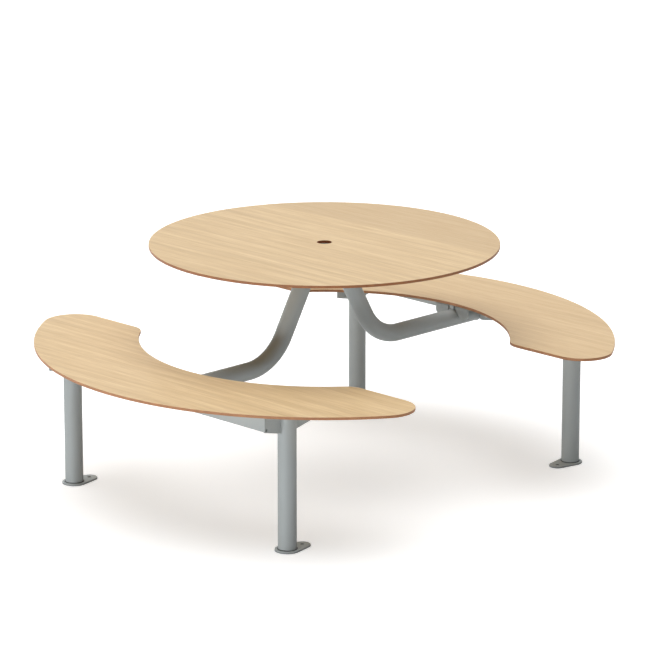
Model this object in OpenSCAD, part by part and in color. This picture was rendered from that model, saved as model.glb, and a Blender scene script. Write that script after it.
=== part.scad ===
/* [Table top] */
// Height of the table's upper face above the floor
top_h = 754; // [720:1:780]
// Diameter of the round table top
top_d = 1100; // [1040:1:1160]
// Diameter of the parasol hole in the middle of the top
pole_hole_d = 46; // [36:1:54]
// Thickness of the laminate boards
board_t = 9; // [8:0.5:12]
// Chamfer along the edges of the boards
chamfer = 1.2; // [0.5:0.1:2]

/* [Seats] */
// Height of the seats' upper face above the floor
seat_h = 450; // [430:1:470]
// Radius of a seat's outer edge, about the table's centre
seat_outer_r = 913; // [890:1:950]
// Radius of a seat's inner edge, about the table's centre
seat_inner_r = 584; // [570:1:610]
// Distance from the table's long centre line to a seat's straight ends
seat_end_y = 346; // [320:1:370]
// Radius at the outer tips of a seat
seat_tip_r = 96; // [60:1:110]
// Radius at the inner corners of a seat
seat_corner_r = 70; // [40:1:90]

/* [Legs and feet] */
// Distance of the legs from the middle, along the benches
leg_x = 479; // [440:1:510]
// Distance of the legs from the middle, across the benches
leg_y = 635; // [625:1:650]
// Outer diameter of a leg
leg_d = 57; // [48:1:60]
// Wall of the leg tubes
leg_wall = 3; // [2:0.5:4]
// Thickness of a foot plate
foot_t = 6; // [5:0.5:10]
// Width of the foot plate's rim around the leg
foot_rim = 10; // [6:0.5:16]
// Radius of the foot plate's narrow end
foot_tip_r = 26; // [18:1:30]
// Distance from the leg to the anchor hole
foot_reach = 62; // [56:1:80]
// Diameter of the anchor hole
anchor_d = 12; // [9:0.5:16]

/* [Steel sections] */
// Width of the box rails
rail_w = 32; // [26:1:36]
// Height of the box rails
rail_h = 56; // [50:1:60]
// Wall of the box rails
rail_wall = 2.5; // [2:0.5:3]
// Outer corner radius of the box rails
rail_corner_r = 4; // [3.5:0.5:6]
// Clear space between a leg and the seat rail
rail_gap = 33.5; // [30:0.5:40]
// Thickness of the brackets and plates
plate_t = 6; // [4:0.5:8]
// Inner radius of the folds
fold_r = 3; // [1:0.5:5]
// Clearance round a tube or plate that passes through another piece
fit_gap = 0.2; // [0.1:0.1:0.5]

/* [Arms] */
// Outer diameter of an arm tube
arm_d = 56; // [50:1:60]
// Wall of the arm tubes
arm_wall = 3; // [2:0.5:4]
// Distance from the seat's underside down to the axis of an arm's level run
arm_drop = 41.3; // [37:0.1:46]
// Radius of the bend on the tube's axis
arm_bend_r = 175; // [150:1:200]
// Angle of the rising stretch above the level
arm_rise = 60; // [56:1:66]
// Thickness of the disc that closes the arm's outer end
arm_cap_t = 3; // [2:0.5:4]
// Width of the bar on the arm's crown that carries the seat
bar_w = 17; // [12:1:20]
// How far the bar's end stays back from the seat's edge
bar_setback = 0.5; // [0.5:0.5:2]

/* [Leg brackets] */
// Reach of the web from the leg's axis towards the table
web_reach = 95; // [80:1:110]
// How much deeper the web is at the leg than at its ends
web_drop = 15; // [8:1:26]
// How far the web stands past the rail's outer face
web_lip = 1; // [0:0.5:3]
// Width of the flange under the seat
flange_w = 44; // [38:1:52]
// Diameter of the drain hole at the rail's lower corner
drain_d = 8; // [5:0.5:9]

/* [Wing brackets] */
// How far the front wing stays back from the seat's inner edge
wing_setback = 2.5; // [2:0.5:6]
// Half width of the front wing
wing_front_x = 71; // [66:1:80]
// Half width of the rear wing
wing_rear_x = 92; // [84:1:100]
// Space left over the arm's crown, on each side of the middle
wing_inner_x = 16; // [14:1:20]
// Height of the front wing at its end
wing_front_h = 37; // [34:1:40]
// How much deeper both wings are beside the tube
wing_drop = 6; // [3:1:8]
// Width of the front wing's lower end at its full depth
wing_foot_w = 3; // [1:1:6]
// Radius of the wings' lower corners
wing_corner_r = 12; // [6:1:14]
// Lean of the front wing's inner edge, measured from level
wing_lean = 50; // [48:1:56]
// Gap between the wings' straight inner edges and the tube
wing_gap = 0.8; // [0.6:0.1:1.5]

/* [Top frame] */
// Distance of the top rails from the middle
top_rail_y = 70.5; // [68:0.5:76]
// Half length of the top rails
top_rail_x = 300; // [290:1:320]
// Distance of the crossbars from the middle
crossbar_x = 230; // [200:1:250]
// Half length of a crossbar
crossbar_y = 300; // [280:1:320]
// Width of a crossbar
crossbar_w = 60; // [50:1:70]
// Distance of a crossbar's outermost screws from its ends
crossbar_screw_end = 30; // [20:1:50]
// Distance from a crossbar's outer screw to the next one
crossbar_screw_pitch = 120; // [60:1:140]
// Length of an arm's head plate along the rail
head_plate_l = 160; // [150:1:180]
// Width of an arm's head plate across the rail
head_plate_w = 80; // [78:1:88]
// Thickness of the plastic caps in the top rails
cap_t = 3; // [2:0.5:4]
// How far a cap's plug reaches into its rail
cap_plug = 14; // [8:1:20]

/* [Fasteners] */
// Thread diameter of the board screws
screw_d = 6; // [5:0.5:6]
// Width across flats of a board screw's head
screw_af = 10; // [8:0.5:10]
// Height of a board screw's head
screw_head_h = 4; // [3:0.5:5]
// Distance of the bracket screws from the web
screw_side = 13; // [12:0.5:14]
// Distance of the inner bracket screws from the leg's axis
screw_in = 68; // [60:1:72]
// Distance of the outer bracket screws from the leg's axis
screw_out = 44; // [42:1:46]
// Thread diameter of the frame bolts
bolt_d = 8; // [6:0.5:8]
// Width across flats of a frame bolt's head and nut
bolt_af = 13; // [10:0.5:13]
// Height of a frame bolt's head
bolt_head_h = 5.5; // [4:0.5:6]
// Height of a nut
nut_h = 6.5; // [5:0.5:7]
// Distance of the frame bolts from the arm's middle
bolt_x = 60; // [56:1:64]
// Distance of the frame bolts from the rail's edges
bolt_edge = 14; // [12:0.5:15]

/* [Hidden] */
$fn = 96;

// Colours
oak = [0.87, 0.77, 0.60];
steel = [0.64, 0.66, 0.66];
zinc = [0.78, 0.78, 0.76];
plastic = [0.25, 0.26, 0.27];

// Amount by which a cutting shape runs past the surface it cuts
cut = 1;
// How far a corner's circle overruns the two edges it joins, so that it crosses them cleanly
corner_overrun = 0.1;
// Board left above a screw's blind hole
board_skin = 2;
// Space round and past the thread in a blind hole
thread_gap = 0.2;
// How far the flanged head of a screw or bolt spreads past its flats
head_rim = 1.5;
head_rim_h = 1.2;

// Levels, all measured up from the floor
seat_under = seat_h - board_t;
rail_low = seat_under - rail_h;
arm_run_z = seat_under - arm_drop;
top_under = top_h - board_t;
top_rail_z = top_under - plate_t - rail_h;
head_z = top_rail_z - plate_t;

// Places across the table
rail_in_y = leg_y + leg_d / 2 + rail_gap;
rail_out_y = rail_in_y + rail_w;
rail_end_x = leg_x - plate_t / 2;
wing_front_y = seat_inner_r + wing_setback;
arm_end_y = rail_in_y - arm_cap_t;

// How much the bending swells the tube, on its radius, over the rising stretch
bend_swell = 0.05;

// The arm's bend, in the plane x = 0
rise_low_z = arm_run_z + arm_bend_r * (1 - cos(arm_rise));
rise_low_y = top_rail_y + (head_z - rise_low_z) / tan(arm_rise);
bend_y = rise_low_y + arm_bend_r * sin(arm_rise);

// Screw and bolt places
bracket_screws = [
    [-screw_side, -screw_in], [screw_side, -screw_in],
    [-screw_side, screw_out], [screw_side, screw_out]
];
wing_screw_x = (wing_inner_x + wing_front_x) / 2;
wing_screw_inset = 30;
wing_screws_y = [wing_front_y + wing_screw_inset, rail_in_y - wing_screw_inset];
crossbar_screws_y = [crossbar_y - crossbar_screw_end,
                     crossbar_y - crossbar_screw_end - crossbar_screw_pitch];

// Turns a piece of the back bench into its twin on the front bench
module on_side(side)
    rotate([0, 0, side == "front" ? 180 : 0]) children();

// The sign of x, in the back bench's frame, of a piece named left or right
function hand(side, lr) = (lr == "right" ? 1 : -1) * (side == "front" ? -1 : 1);

// Section of a board with chamfered edges, from radius or distance a to b
module board_section(a, b) {
    e = chamfer;
    t = board_t;
    polygon([
        [a, e], [a + e, 0], [b - e, 0], [b, e],
        [b, t - e], [b - e, t], [a + e, t], [a, t - e]
    ]);
}

// A round board with chamfered edges, and a hole of radius a
module ring_board(a, r)
    rotate_extrude($fn = 180) board_section(a, r);

// A round board without a hole
module disc_board(r)
    rotate_extrude($fn = 180)
        intersection() {
            board_section(-r, r);
            square([r, board_t]);
        }

// Blind screw hole in a board's underside
module blind_hole()
    translate([0, 0, -cut])
        cylinder(d = screw_d + 2 * thread_gap, h = board_t - board_skin + cut, $fn = 24);

module table_top() {
    color(oak)
        translate([0, 0, top_under])
            difference() {
                ring_board(pole_hole_d / 2, top_d / 2);
                for (sx = [-1, 1], sy = [-1, 1], y = crossbar_screws_y)
                    translate([sx * crossbar_x, sy * y, 0]) blind_hole();
            }
}

// Centre of a fillet of radius r on the straight end; its circle is q from the table's centre
function fillet_centre(r, q) = [sqrt(pow(q, 2) - pow(seat_end_y + r, 2)), seat_end_y + r];

tip_centre = fillet_centre(seat_tip_r, seat_outer_r - seat_tip_r);
corner_centre = fillet_centre(seat_corner_r, seat_inner_r + seat_corner_r);

// Wedge between a fillet's two tangent points, from its centre c past the sharp corner
module fillet_wedge(c, out_dir, r) {
    far = 3 * r;
    linear_extrude(3 * board_t, center = true)
        polygon([c, c + [0, -far], c + [0, -far] + out_dir * far, c + out_dir * far]);
}

// What a round corner cuts off: the wedge outside a disc that just overruns both edges
module corner_waste(c, out_dir, r)
    difference() {
        fillet_wedge(c, out_dir, r);
        translate([c[0], c[1], 0]) disc_board(r + corner_overrun);
    }

module seat_board()
    difference() {
        intersection() {
            ring_board(seat_inner_r, seat_outer_r);
            translate([-seat_outer_r - cut, 0, 0])
                rotate([90, 0, 90])
                    linear_extrude(2 * (seat_outer_r + cut))
                        board_section(seat_end_y, seat_outer_r + 2 * cut + chamfer);
        }
        for (sx = [0, 1]) mirror([sx, 0, 0]) {
            corner_waste(tip_centre, tip_centre / norm(tip_centre), seat_tip_r);
            corner_waste(corner_centre, -corner_centre / norm(corner_centre), seat_corner_r);
            for (p = bracket_screws)
                translate([leg_x + p[0], leg_y + p[1], 0]) blind_hole();
            for (y = wing_screws_y)
                translate([wing_screw_x, y, 0]) blind_hole();
        }
    }

// Rounded rectangle, centred, drawn with true arcs
module rounded_rect(w, h, r) {
    square([w - 2 * r, h], center = true);
    square([w, h - 2 * r], center = true);
    for (x = [-1, 1], y = [-1, 1])
        translate([x * (w / 2 - r), y * (h / 2 - r)]) circle(r, $fn = 32);
}

// Box rail along X, centred on x = 0, its underside at z = 0 and its axis at y = 0
module box_rail(half_l)
    translate([0, 0, rail_h / 2])
        rotate([90, 0, 90])
            linear_extrude(2 * half_l, center = true)
                difference() {
                    rounded_rect(rail_w, rail_h, rail_corner_r);
                    rounded_rect(rail_w - 2 * rail_wall, rail_h - 2 * rail_wall,
                                 rail_corner_r - rail_wall + 0.5);
                }

// Hole for a frame bolt, along +Z from z = 0
module bolt_hole(h)
    translate([0, 0, -cut])
        cylinder(d = bolt_d + 2 * fit_gap, h = h + 2 * cut, $fn = 32);

// Heights on a seat rail at which the wing brackets are bolted to it
bolt_levels = [rail_low + bolt_edge, seat_under - bolt_edge];

module seat_rail() {
    color(steel)
        difference() {
            translate([0, rail_in_y + rail_w / 2, rail_low]) box_rail(rail_end_x);
            for (x = [-bolt_x, bolt_x], z = bolt_levels)
                translate([x, rail_in_y, z]) rotate([-90, 0, 0]) bolt_hole(rail_wall);
        }
}

module top_rail() {
    color(steel)
        difference() {
            translate([0, top_rail_y, top_rail_z]) box_rail(top_rail_x);
            for (x = [-bolt_x, bolt_x])
                translate([x, top_rail_y, top_rail_z]) bolt_hole(rail_wall);
        }
}

// Hexagonal head with a flanged rim, standing on z = 0 and pointing down
module flanged_head(d, af, h) {
    translate([0, 0, -head_rim_h]) cylinder(d = af + 2 * head_rim, h = head_rim_h, $fn = 48);
    translate([0, 0, -h]) cylinder(d = af / cos(30), h = h - head_rim_h, $fn = 6);
}

// Screw up through a plate that is grip thick into a board; z = 0 is the plate's underside
module board_screw(grip)
    union() {
        flanged_head(screw_d, screw_af, screw_head_h);
        translate([0, 0, -head_rim_h])
            cylinder(d = screw_d - 2 * thread_gap, h = head_rim_h + grip + board_t - board_skin
                     - thread_gap, $fn = 24);
    }

// Clearance hole for a board screw
module screw_hole(h)
    translate([0, 0, -cut])
        cylinder(d = screw_d + 2 * fit_gap, h = h + 2 * cut, $fn = 24);

// Bolt along +Z through a plate and a rail's wall, with its nut inside the rail
module frame_bolt() {
    grip = plate_t + rail_wall;
    flanged_head(bolt_d, bolt_af, bolt_head_h);
    translate([0, 0, -head_rim_h])
        cylinder(d = bolt_d - 2 * thread_gap, h = head_rim_h + grip + nut_h + 2, $fn = 32);
    translate([0, 0, grip])
        difference() {
            cylinder(d = bolt_af / cos(30), h = nut_h, $fn = 6);
            translate([0, 0, -cut]) cylinder(d = bolt_d, h = nut_h + 2 * cut, $fn = 32);
        }
}

module top_crossbar() {
    color(steel)
        difference() {
            translate([crossbar_x, 0, top_under - plate_t / 2])
                cube([crossbar_w, 2 * crossbar_y, plate_t], center = true);
            for (sy = [-1, 1], y = crossbar_screws_y)
                translate([crossbar_x, sy * y, top_under - plate_t]) screw_hole(plate_t);
        }
}

module top_rail_caps() {
    color(plastic)
        for (sx = [0, 1], sy = [-1, 1])
            mirror([sx, 0, 0])
                translate([top_rail_x, sy * top_rail_y, top_rail_z + rail_h / 2])
                    rotate([90, 0, 90]) {
                        linear_extrude(cap_t) rounded_rect(rail_w, rail_h, rail_corner_r);
                        translate([0, 0, -cap_plug])
                            linear_extrude(cap_plug + cut)
                                rounded_rect(rail_w - 2 * (rail_wall + fit_gap),
                                             rail_h - 2 * (rail_wall + fit_gap),
                                             rail_corner_r - rail_wall + 0.5);
                    }
}

module top_board_screws() {
    color(zinc)
        for (sx = [-1, 1], sy = [-1, 1], y = crossbar_screws_y)
            translate([sx * crossbar_x, sy * y, top_under - plate_t]) board_screw(plate_t);
}

// The arm's path as a solid of diameter d, run past its two ends by over
module arm_path(d, over) {
    translate([0, bend_y, arm_run_z])
        rotate([-90, 0, 0]) cylinder(d = d, h = arm_end_y + over - bend_y);
    translate([0, bend_y, arm_run_z + arm_bend_r])
        rotate([0, 90, 180])
            rotate_extrude(angle = arm_rise, $fn = 180)
                translate([arm_bend_r, 0]) circle(d = d, $fn = 96);
    intersection() {
        translate([0, rise_low_y, rise_low_z])
            rotate([90 - arm_rise, 0, 0])
                translate([0, 0, -arm_wall / 2])
                    cylinder(d = d - 2 * bend_swell, h = 2 * (head_z - rise_low_z));
        translate([-arm_d, -top_rail_y, 0])
            cube([2 * arm_d, rise_low_y + 3 * arm_d, head_z + over]);
    }
}

module arm_tube() {
    color(steel)
        difference() {
            arm_path(arm_d, 0);
            arm_path(arm_d - 2 * arm_wall, cut);
        }
}

module arm_head_plate() {
    color(steel)
        difference() {
            translate([0, top_rail_y, head_z + plate_t / 2])
                cube([head_plate_l, head_plate_w, plate_t], center = true);
            for (x = [-bolt_x, bolt_x])
                translate([x, top_rail_y, head_z]) bolt_hole(plate_t);
        }
}

module head_plate_bolts() {
    color(zinc)
        for (x = [-bolt_x, bolt_x], sy = [-1, 1])
            translate([x, sy * top_rail_y, head_z]) frame_bolt();
}

module arm_end_cap() {
    color(steel)
        translate([0, arm_end_y, arm_run_z])
            rotate([-90, 0, 0]) cylinder(d = arm_d, h = arm_cap_t);
}

module bearer_bar() {
    bar_y = seat_inner_r + bar_setback;
    color(steel)
        difference() {
            translate([-bar_w / 2, bar_y, arm_run_z])
                cube([bar_w, rail_in_y - bar_y, seat_under - arm_run_z]);
            translate([0, bar_y - cut, arm_run_z])
                rotate([-90, 0, 0]) cylinder(d = arm_d, h = rail_in_y - bar_y + 2 * cut);
        }
}

// Rectangle from the origin whose two upper corners are rounded
module arch_rect(w, h, r) {
    square([w, h - r]);
    translate([r, 0]) square([w - 2 * r, h]);
    for (x = [r, w - r]) translate([x, h - r]) circle(r, $fn = 48);
}

// Section of a folded bracket, open below
module fold_section(w, h)
    difference() {
        arch_rect(w, h, fold_r + plate_t);
        translate([plate_t, -cut]) arch_rect(w - 2 * plate_t, h - plate_t + cut, fold_r);
    }

// Half width of the gap between the wings' straight inner edges, on the tube's own level
wing_slot_r = arm_d / 2 + wing_gap;

// Distance from the middle at which the wings reach full depth
wing_root_x = wing_foot_w
    + (wing_slot_r + (wing_front_h + wing_drop - arm_drop) * cos(wing_lean)) / sin(wing_lean);

// Outline of a wing: half width w, height h at its end, from the seat's underside down
module wing_outline(w, h) {
    low = seat_under - h;
    polygon([
        [wing_inner_x, seat_under], [w, seat_under], [w, low + wing_corner_r],
        [w - wing_corner_r, low], [wing_root_x, low - wing_drop], [wing_inner_x, low - wing_drop]
    ]);
    translate([w - wing_corner_r, low + wing_corner_r]) circle(wing_corner_r, $fn = 48);
}

// Outline of the front wing, with the wider flange above it down to below the fold
module wing_front_outline() {
    fold_h = plate_t + fold_r + cut;
    wing_outline(wing_front_x, wing_front_h);
    translate([wing_inner_x, seat_under - fold_h]) square([wing_rear_x - wing_inner_x, fold_h]);
}

// Room for the arm: round over the tube, a leaning edge at the front and an upright one behind
module wing_slot(depth, mid_y) {
    far = 3 * arm_d;
    translate([0, wing_front_y - cut, arm_run_z])
        rotate([-90, 0, 0]) cylinder(d = arm_d + 2 * fit_gap, h = depth + 2 * cut);
    translate([0, mid_y, arm_run_z])
        rotate([90, 0, 0])
            linear_extrude(depth / 2 + cut)
                rotate(-wing_lean)
                    translate([-far / 2, wing_slot_r - far]) square(far);
    translate([-wing_slot_r, mid_y, arm_run_z - far])
        cube([2 * wing_slot_r, depth / 2 + cut, far]);
}

// The bracket on the arm's +X side, folded from one plate
module wing_bracket() {
    depth = rail_in_y - wing_front_y;
    drop = rail_h + wing_drop;
    mid_y = (wing_front_y + rail_in_y) / 2;
    color(steel)
        difference() {
            intersection() {
                translate([0, wing_front_y, seat_under - drop])
                    rotate([90, 0, 90])
                        linear_extrude(wing_rear_x + cut) fold_section(depth, drop);
                linear_extrude(seat_under + cut)
                    polygon([
                        [wing_inner_x, wing_front_y - cut], [wing_front_x, wing_front_y - cut],
                        [wing_front_x, wing_front_y + plate_t],
                        [wing_rear_x, rail_in_y - plate_t], [wing_rear_x, rail_in_y + cut],
                        [wing_inner_x, rail_in_y + cut]
                    ]);
                union() {
                    translate([0, mid_y, 0])
                        rotate([90, 0, 0])
                            linear_extrude(depth / 2 + cut) wing_front_outline();
                    translate([0, rail_in_y + cut, 0])
                        rotate([90, 0, 0])
                            linear_extrude(depth / 2 + cut + cut) wing_outline(wing_rear_x, rail_h);
                }
            }
            wing_slot(depth, mid_y);
            for (y = wing_screws_y)
                translate([wing_screw_x, y, seat_under - plate_t]) screw_hole(plate_t);
            for (z = bolt_levels)
                translate([bolt_x, rail_in_y - plate_t, z]) rotate([-90, 0, 0]) bolt_hole(plate_t);
        }
}

module seat_rail_bolts() {
    color(zinc)
        for (side = ["front", "back"])
            on_side(side)
                for (x = [-bolt_x, bolt_x], z = bolt_levels)
                    translate([x, rail_in_y - plate_t, z]) rotate([-90, 0, 0]) frame_bolt();
}

// Leg at +X of the back bench, slotted for its bracket's web
module leg() {
    color(steel)
        translate([leg_x, leg_y, 0])
            difference() {
                translate([0, 0, foot_t])
                    cylinder(d = leg_d, h = seat_under - plate_t - foot_t);
                cylinder(d = leg_d - 2 * leg_wall, h = seat_h);
                translate([-plate_t / 2 - fit_gap, -leg_d, rail_low - web_drop - fit_gap])
                    cube([plate_t + 2 * fit_gap, 2 * leg_d, seat_h]);
            }
}

// Web and flange that join a leg to its rail and carry the seat
module leg_bracket() {
    web_in_y = leg_y - web_reach;
    web_out_y = rail_out_y + web_lip;
    root_z = rail_low - web_drop;
    drain_in = rail_wall + drain_d / 2;
    color(steel)
        difference() {
            union() {
                translate([rail_end_x, 0, 0])
                    rotate([90, 0, 90])
                        linear_extrude(plate_t)
                            polygon([
                                [web_in_y, seat_under], [web_in_y, rail_low],
                                [leg_y - leg_d / 2, root_z], [leg_y + leg_d / 2, root_z],
                                [web_out_y, rail_low], [web_out_y, seat_under]
                            ]);
                translate([leg_x - flange_w / 2, web_in_y, seat_under - plate_t])
                    cube([flange_w, rail_in_y - fit_gap - web_in_y, plate_t]);
            }
            translate([rail_end_x - cut, rail_out_y - drain_in, rail_low + drain_in])
                rotate([0, 90, 0]) cylinder(d = drain_d, h = plate_t + 2 * cut, $fn = 32);
            for (p = bracket_screws)
                translate([leg_x + p[0], leg_y + p[1], seat_under - plate_t])
                    screw_hole(plate_t);
        }
}

// Foot plate: two discs joined by their common tangents, pointing inwards
module foot_plate() {
    big_r = leg_d / 2 + foot_rim;
    lean = acos((big_r - foot_tip_r) / foot_reach);
    side_x = sin(lean);
    side_y = cos(lean);
    color(steel)
        translate([leg_x, leg_y, 0])
            difference() {
                linear_extrude(foot_t)
                    union() {
                        circle(big_r);
                        translate([0, -foot_reach]) circle(foot_tip_r);
                        polygon([
                            [-big_r * side_x, -big_r * side_y],
                            [-foot_tip_r * side_x, -foot_reach - foot_tip_r * side_y],
                            [foot_tip_r * side_x, -foot_reach - foot_tip_r * side_y],
                            [big_r * side_x, -big_r * side_y]
                        ]);
                    }
                translate([0, -foot_reach, -cut])
                    cylinder(d = anchor_d, h = foot_t + 2 * cut, $fn = 32);
            }
}

module seat_screws() {
    color(zinc)
        for (sx = [-1, 1]) {
            for (p = bracket_screws)
                translate([sx * leg_x + p[0], leg_y + p[1], seat_under - plate_t])
                    board_screw(plate_t);
            for (y = wing_screws_y)
                translate([sx * wing_screw_x, y, seat_under - plate_t]) board_screw(plate_t);
        }
}

// A piece of the back bench's +X side, moved to the named corner
module at_corner(side, lr)
    on_side(side) mirror([hand(side, lr) < 0 ? 1 : 0, 0, 0]) children();

table_top();
color(oak) on_side("front") translate([0, 0, seat_under]) seat_board();  // seat_board_front
color(oak) on_side("back") translate([0, 0, seat_under]) seat_board();  // seat_board_back
on_side("front") top_rail();  // top_rail_front
on_side("back") top_rail();  // top_rail_back
on_side("front") top_crossbar();  // top_crossbar_left
on_side("back") top_crossbar();  // top_crossbar_right
top_rail_caps();
top_board_screws();
on_side("front") arm_tube();  // arm_tube_front
on_side("back") arm_tube();  // arm_tube_back
on_side("front") arm_head_plate();  // arm_head_plate_front
on_side("back") arm_head_plate();  // arm_head_plate_back
head_plate_bolts();
on_side("front") arm_end_cap();  // arm_end_cap_front
on_side("back") arm_end_cap();  // arm_end_cap_back
on_side("front") bearer_bar();  // bearer_bar_front
on_side("back") bearer_bar();  // bearer_bar_back
at_corner("front", "left") wing_bracket();  // wing_bracket_front_left
at_corner("front", "right") wing_bracket();  // wing_bracket_front_right
at_corner("back", "left") wing_bracket();  // wing_bracket_back_left
at_corner("back", "right") wing_bracket();  // wing_bracket_back_right
seat_rail_bolts();
on_side("front") seat_rail();  // seat_rail_front
on_side("back") seat_rail();  // seat_rail_back
at_corner("front", "left") leg();  // leg_front_left
at_corner("front", "right") leg();  // leg_front_right
at_corner("back", "left") leg();  // leg_back_left
at_corner("back", "right") leg();  // leg_back_right
at_corner("front", "left") leg_bracket();  // leg_bracket_front_left
at_corner("front", "right") leg_bracket();  // leg_bracket_front_right
at_corner("back", "left") leg_bracket();  // leg_bracket_back_left
at_corner("back", "right") leg_bracket();  // leg_bracket_back_right
at_corner("front", "left") foot_plate();  // foot_plate_front_left
at_corner("front", "right") foot_plate();  // foot_plate_front_right
at_corner("back", "left") foot_plate();  // foot_plate_back_left
at_corner("back", "right") foot_plate();  // foot_plate_back_right
on_side("front") seat_screws();  // seat_screws_front
on_side("back") seat_screws();  // seat_screws_back
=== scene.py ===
import math

import bmesh
import bpy
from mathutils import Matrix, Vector


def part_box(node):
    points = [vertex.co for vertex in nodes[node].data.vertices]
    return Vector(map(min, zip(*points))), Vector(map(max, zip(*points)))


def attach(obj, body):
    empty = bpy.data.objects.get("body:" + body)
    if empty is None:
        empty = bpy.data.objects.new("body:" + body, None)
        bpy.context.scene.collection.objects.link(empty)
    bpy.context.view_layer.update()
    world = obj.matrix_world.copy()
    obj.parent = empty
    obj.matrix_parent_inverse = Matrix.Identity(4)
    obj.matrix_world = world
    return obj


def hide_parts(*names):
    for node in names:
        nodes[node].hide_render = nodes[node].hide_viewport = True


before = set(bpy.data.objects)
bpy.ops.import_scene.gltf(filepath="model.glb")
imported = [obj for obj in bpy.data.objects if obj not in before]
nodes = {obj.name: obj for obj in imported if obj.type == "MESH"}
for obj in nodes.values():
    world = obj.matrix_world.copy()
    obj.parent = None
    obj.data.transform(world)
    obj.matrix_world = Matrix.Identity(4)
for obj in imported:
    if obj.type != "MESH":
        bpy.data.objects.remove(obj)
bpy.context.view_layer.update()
sideTurn = {"front": -1, "back": 1}  # the sign of y on each side of the table
alongX, alongY, alongZ = Vector((1, 0, 0)), Vector((0, 1, 0)), Vector((0, 0, 1))
print("frame loaded with", len(nodes), "nodes")


def addObject(name, data):
    piece = bpy.data.objects.new(name, data)
    bpy.context.scene.collection.objects.link(piece)
    return piece


# camera, at the photograph's viewing angle
cameraView = {
    "azimuth": 45.0,
    "elevation": 15.0,
    "distance": 12.2076,
    "aimPoint": (0.0, 0.0027, 0.4846),
    "lens": 214.8,
    "sensorWidth": 36.0,
    "clipEnd": 200.0,
}


def placeCamera(view):
    azimuth = math.radians(view["azimuth"])
    elevation = math.radians(view["elevation"])
    back = Vector((
        math.sin(azimuth) * math.cos(elevation),
        -math.cos(azimuth) * math.cos(elevation),
        math.sin(elevation),
    ))
    data = bpy.data.cameras.new("photoCamera")
    data.sensor_width = view["sensorWidth"]
    data.lens = view["lens"]
    data.clip_end = view["clipEnd"]
    camera = addObject("photoCamera", data)
    camera.rotation_mode = "QUATERNION"
    camera.location = Vector(view["aimPoint"]) + back * view["distance"]
    camera.rotation_quaternion = (-back).to_track_quat("-Z", "Y")
    bpy.context.scene.camera = camera


placeCamera(cameraView)
print("camera placed")


# small helpers for node trees
noiseLow, noiseHigh = 0.3, 0.7  # nearly all of a noise's values lie between these


def paint(red, green, blue):
    # a colour as read off a screen, 0 to 255, made linear
    def linear(value):
        value /= 255.0
        return value / 12.92 if value <= 0.04045 else ((value + 0.055) / 1.055) ** 2.4
    return (linear(red), linear(green), linear(blue), 1.0)


def addNode(tree, kind, **settings):
    node = tree.nodes.new(kind)
    for key, value in settings.items():
        setattr(node, key, value)
    return node


def feed(tree, socket, value):
    # a value is another node's output or a plain number, vector or colour
    if isinstance(value, bpy.types.NodeSocket):
        tree.links.new(value, socket)
    elif value is not None:
        socket.default_value = value


def fedNode(tree, kind, inputs, **settings):
    # a node whose inputs are fed by name; gives its first output
    node = addNode(tree, kind, **settings)
    for label, value in inputs.items():
        feed(tree, node.inputs[label], value)
    return node.outputs[0]


def calc(tree, operation, first, second=None):
    node = addNode(tree, "ShaderNodeMath", operation=operation)
    feed(tree, node.inputs[0], first)
    feed(tree, node.inputs[1], second)
    return node.outputs[0]


def vectorCalc(tree, operation, first, second=None, scale=None):
    node = addNode(tree, "ShaderNodeVectorMath", operation=operation)
    feed(tree, node.inputs[0], first)
    feed(tree, node.inputs[1], second)
    feed(tree, node.inputs[3], scale)
    return node.outputs["Value" if operation == "DOT_PRODUCT" else "Vector"]


def splitAxes(tree, vector):
    node = addNode(tree, "ShaderNodeSeparateXYZ")
    feed(tree, node.inputs[0], vector)
    return node.outputs


def joinAxes(tree, *values):
    node = addNode(tree, "ShaderNodeCombineXYZ")
    for socket, value in zip(node.inputs, values):
        feed(tree, socket, value)
    return node.outputs[0]


def noise(tree, vector, scale, detail=2.0, roughness=0.5):
    return fedNode(tree, "ShaderNodeTexNoise", {
        "Vector": vector, "Scale": scale, "Detail": detail, "Roughness": roughness,
    })


def remap(tree, value, low, high, toLow=0.0, toHigh=1.0, smooth=False):
    return fedNode(tree, "ShaderNodeMapRange", {
        "Value": value, "From Min": low, "From Max": high, "To Min": toLow, "To Max": toHigh,
    }, clamp=True, interpolation_type="SMOOTHSTEP" if smooth else "LINEAR")


def blendColour(tree, factor, first, second):
    node = addNode(tree, "ShaderNodeMix", data_type="RGBA")
    feed(tree, node.inputs["Factor"], factor)
    feed(tree, node.inputs[6], first)
    feed(tree, node.inputs[7], second)
    return node.outputs[2]


def colourRamp(tree, value, places, colours):
    node = addNode(tree, "ShaderNodeValToRGB")
    ramp = node.color_ramp
    while len(ramp.elements) < len(places):
        ramp.elements.new(0.5)
    for element, place, colour in zip(ramp.elements, places, colours):
        element.position = place
        element.color = colour
    feed(tree, node.inputs[0], value)
    return node.outputs[0]


def openTree(name, kind, inputs, outputs):
    # a node group with named sockets: inputs and outputs give the kind of each one
    tree = bpy.data.node_groups.new(name, kind)
    for direction, sockets in (("INPUT", inputs), ("OUTPUT", outputs)):
        for label, socketKind in sockets.items():
            tree.interface.new_socket(name=label, in_out=direction,
                                      socket_type="NodeSocket" + socketKind)
    given = addNode(tree, "NodeGroupInput").outputs
    made = addNode(tree, "NodeGroupOutput").inputs
    return tree, given, made


def placeGroup(tree, group, **values):
    node = addNode(tree, "ShaderNodeGroup", node_tree=group)
    for label, value in values.items():
        feed(tree, node.inputs[label], value)
    return node.outputs


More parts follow.
